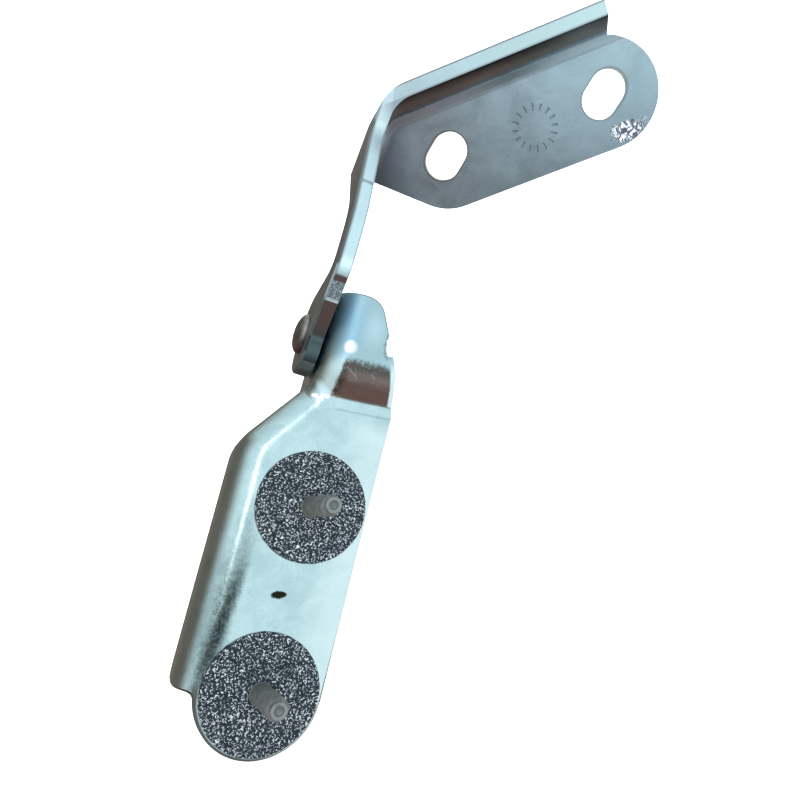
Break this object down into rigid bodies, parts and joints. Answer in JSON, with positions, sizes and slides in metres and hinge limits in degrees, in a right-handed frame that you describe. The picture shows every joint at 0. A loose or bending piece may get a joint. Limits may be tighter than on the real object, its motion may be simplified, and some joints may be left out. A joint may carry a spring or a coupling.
{
  "type": "bonnet hinge",
  "caption": "Pressed steel bonnet hinge: flat stud-mounted body leaf with side flange and pivot lug, riveted to a gooseneck arm that opens into a flanged tray with slanting slots.",
  "frame": {"origin": "axis of the upper stud, on the seating plane of the two seals", "axes": "-Y the way the studs point, +Z from the lower stud to the upper stud, +X towards the pad's free edge, away from the side flange"},
  "size_m": [0.0905, 0.0784, 0.2339],
  "materials": {
    "body_leaf_zinc": "bright zinc plate, pale cyan cast, satin",
    "bonnet_leaf_zinc": "zinc plate, blue-grey, satin, worn at the edges",
    "rivet_steel": "plated, brown-grey",
    "bush_bronze": "sintered bronze",
    "washer_nylon": "matt",
    "washer_steel": "zinc plate",
    "stud_steel": "matt warm grey",
    "seal_rubber": "dark slate with pale flecks"
  },
  "bodies": {
    "body_side": {"body_leaf": "body_leaf_zinc", "pivot_bush": "bush_bronze", "friction_washer": "washer_nylon", "backing_washer": "washer_steel", "upper_stud": "stud_steel", "lower_stud": "stud_steel", "upper_seal": "seal_rubber", "lower_seal": "seal_rubber"},
    "bonnet_side": {"bonnet_leaf": "bonnet_leaf_zinc", "pivot_rivet": "rivet_steel"}
  },
  "joints": [
    {"name": "bonnet_swing", "type": "hinge", "parent": "body_side", "child": "bonnet_side", "pos_m": [-0.0084, 0.0129, 0.0516], "axis": [0.9969, -0.0785, 0], "range_deg": [-8, 53]}
  ]
}
